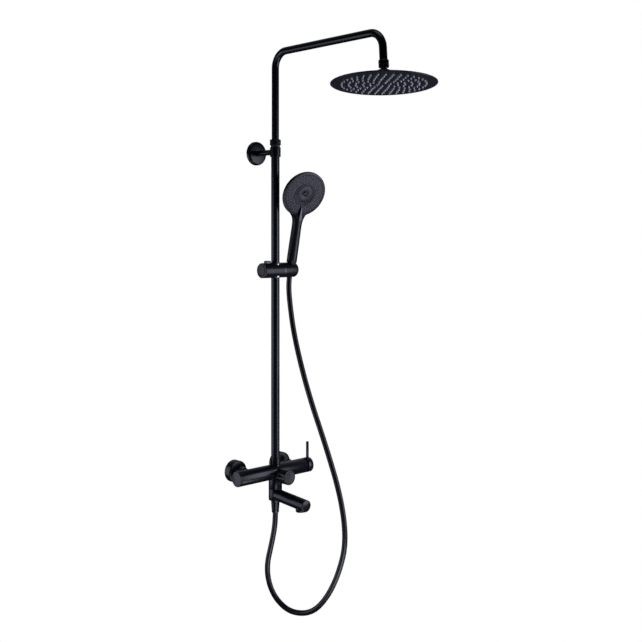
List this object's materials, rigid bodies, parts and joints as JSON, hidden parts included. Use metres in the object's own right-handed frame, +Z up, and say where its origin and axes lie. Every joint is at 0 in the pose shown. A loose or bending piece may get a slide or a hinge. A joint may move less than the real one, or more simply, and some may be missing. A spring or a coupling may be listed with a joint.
{
  "type": "rainfall shower column",
  "caption": "Wall-mounted black shower column: bar mixer with bath spout, telescopic riser with round rain rose, and a handset on a sliding holder with hose.",
  "frame": {"origin": "the point in the wall plane half way between the two water inlets", "axes": "+Y into the wall, +X to the right along the wall as the user faces it, +Z up"},
  "size_m": [0.2506, 0.6134, 1.4626],
  "materials": {
    "black_coat": "satin black powder coat on brass and steel",
    "dome_black": "satin black",
    "brass": "machined",
    "cartridge_plastic": "moulded",
    "steel": "brushed",
    "spring_steel": "drawn wire",
    "black_rubber": "moulded",
    "guide_plastic": "acetal, satin",
    "black_plastic": "satin black",
    "gloss_black": "glossy black",
    "rose_face": "satin black, slightly violet",
    "grey_silicone": "light grey silicone",
    "handset_face": "satin dark grey",
    "dark_silicone": "dark grey silicone",
    "aerator_mesh": "moulded mesh",
    "hose": "smooth satin black hose"
  },
  "bodies": {
    "root": {"mixer_body": "black_coat", "left_end_cap": "black_coat", "cartridge_body": "cartridge_plastic", "cartridge_nut": "brass", "dome_ring": "dome_black", "diverter_cartridge": "cartridge_plastic", "outlet_spigot": "brass", "spout_orings": "black_rubber", "hose_nut_lower": "black_coat", "eccentric_union_left": "black_coat", "eccentric_union_right": "black_coat", "escutcheon_left": "black_coat", "escutcheon_right": "black_coat", "inlet_union_nuts": "black_coat", "sealing_washers": "black_rubber", "check_valves": "cartridge_plastic", "riser_nut": "black_coat", "riser_tube": "black_coat", "guide_bush": "guide_plastic", "clamp_collet": "guide_plastic", "bracket_arm": "black_coat", "bracket_rosette": "black_coat", "wall_plate": "steel", "wall_screws": "steel", "shower_hose": "hose"},
    "mixing_turret": {"cartridge_turret": "cartridge_plastic"},
    "handle": {"cartridge_stem": "brass", "handle_cap": "black_coat", "lever_pin": "black_coat", "handle_set_screw": "steel"},
    "diverter": {"diverter_spindle": "brass", "diverter_knob": "black_coat"},
    "spout": {"spout": "black_coat", "aerator_housing": "black_coat", "aerator_insert": "aerator_mesh"},
    "lock_nut": {"clamp_nut": "black_coat"},
    "telescope_seal": {"sliding_seal": "guide_plastic"},
    "arm": {"arm_tube": "black_coat", "swivel_nut": "black_coat"},
    "ball_ring": {"ball_slip_ring": "cartridge_plastic"},
    "rose": {"ball_stem": "black_coat", "rose_hub": "black_coat", "rose_top_plate": "black_coat", "rose_face_plate": "rose_face", "rose_nozzles": "grey_silicone"},
    "slider_carriage": {"slider_liner": "guide_plastic"},
    "slider": {"slider_body": "black_plastic", "slider_end_cap": "black_plastic", "brake_shoe": "guide_plastic", "release_spring": "spring_steel", "friction_ring": "guide_plastic", "pivot_bolt": "steel"},
    "release_tab": {"release_tab": "gloss_black"},
    "holder": {"holder": "black_plastic"},
    "cone_nut": {"hose_cone_nut": "black_plastic"},
    "handset": {"handset_shell": "black_plastic", "mode_plate": "cartridge_plastic", "spray_faceplate": "handset_face", "handset_nozzles": "dark_silicone"},
    "mode_button": {"mode_button": "gloss_black"}
  },
  "joints": [
    {"name": "handle_temperature", "type": "hinge", "parent": "root", "child": "mixing_turret", "pos_m": [0.09, -0.081, 0], "axis": [1, 0, 0], "range_deg": [-45, 45]},
    {"name": "handle_flow", "type": "hinge", "parent": "mixing_turret", "child": "handle", "pos_m": [0.09, -0.081, 0], "axis": [0, 1, 0], "range_deg": [0, 14]},
    {"name": "diverter_turn", "type": "hinge", "parent": "root", "child": "diverter", "pos_m": [0, -0.081, -0.007], "axis": [0, -1, 0], "range_deg": [-60, 60]},
    {"name": "spout_swivel", "type": "hinge", "parent": "root", "child": "spout", "pos_m": [0, -0.081, -0.06], "axis": [0, 0, 1], "range_deg": [-75, 75]},
    {"name": "lock_nut_turn", "type": "hinge", "parent": "root", "child": "lock_nut", "pos_m": [0, -0.081, 0.853], "axis": [0, 0, 1], "range_deg": [0, 270]},
    {"name": "arm_telescope", "type": "slide", "parent": "root", "child": "telescope_seal", "axis": [0, 0, 1], "range_m": [-0.16, 0.14]},
    {"name": "arm_swivel", "type": "hinge", "parent": "telescope_seal", "child": "arm", "pos_m": [0, -0.081, 0.8], "axis": [0, 0, 1], "range_deg": [-75, 75]},
    {"name": "rose_swing", "type": "hinge", "parent": "arm", "child": "ball_ring", "pos_m": [0, -0.46789, 1.00707], "axis": [0, 0.0645, 0.9979], "continuous": true},
    {"name": "rose_tilt", "type": "hinge", "parent": "ball_ring", "child": "rose", "pos_m": [0, -0.46789, 1.00707], "axis": [1, 0, 0], "range_deg": [-12, 12]},
    {"name": "slider_slide", "type": "slide", "parent": "root", "child": "slider_carriage", "axis": [0, 0, 1], "range_m": [-0.26, 0.25], "deforming": ["shower_hose"]},
    {"name": "slider_swivel", "type": "hinge", "parent": "slider_carriage", "child": "slider", "pos_m": [0, -0.081, 0.5217], "axis": [0, 0, 1], "range_deg": [-90, 40], "deforming": ["shower_hose"]},
    {"name": "release_press", "type": "slide", "parent": "slider", "child": "release_tab", "axis": [0, 0, -1], "range_m": [0, 0.0025], "stiffness_N_per_m": 900, "deforming": ["release_spring"]},
    {"name": "holder_tilt", "type": "hinge", "parent": "slider", "child": "holder", "pos_m": [0.052, -0.081, 0.5217], "axis": [1, 0, 0], "range_deg": [-2, 40], "deforming": ["shower_hose"]},
    {"name": "handset_lift", "type": "slide", "parent": "holder", "child": "cone_nut", "axis": [0, -0.2079, 0.9781], "range_m": [0, 0.045], "deforming": ["shower_hose"]},
    {"name": "handset_twist", "type": "hinge", "parent": "cone_nut", "child": "handset", "pos_m": [0.052, -0.081, 0.5217], "axis": [0, -0.2079, 0.9781], "range_deg": [-12, 35]},
    {"name": "mode_press", "type": "slide", "parent": "handset", "child": "mode_button", "axis": [0.1673, 0.8899, 0.4243], "range_m": [0, 0.002], "stiffness_N_per_m": 700}
  ]
}
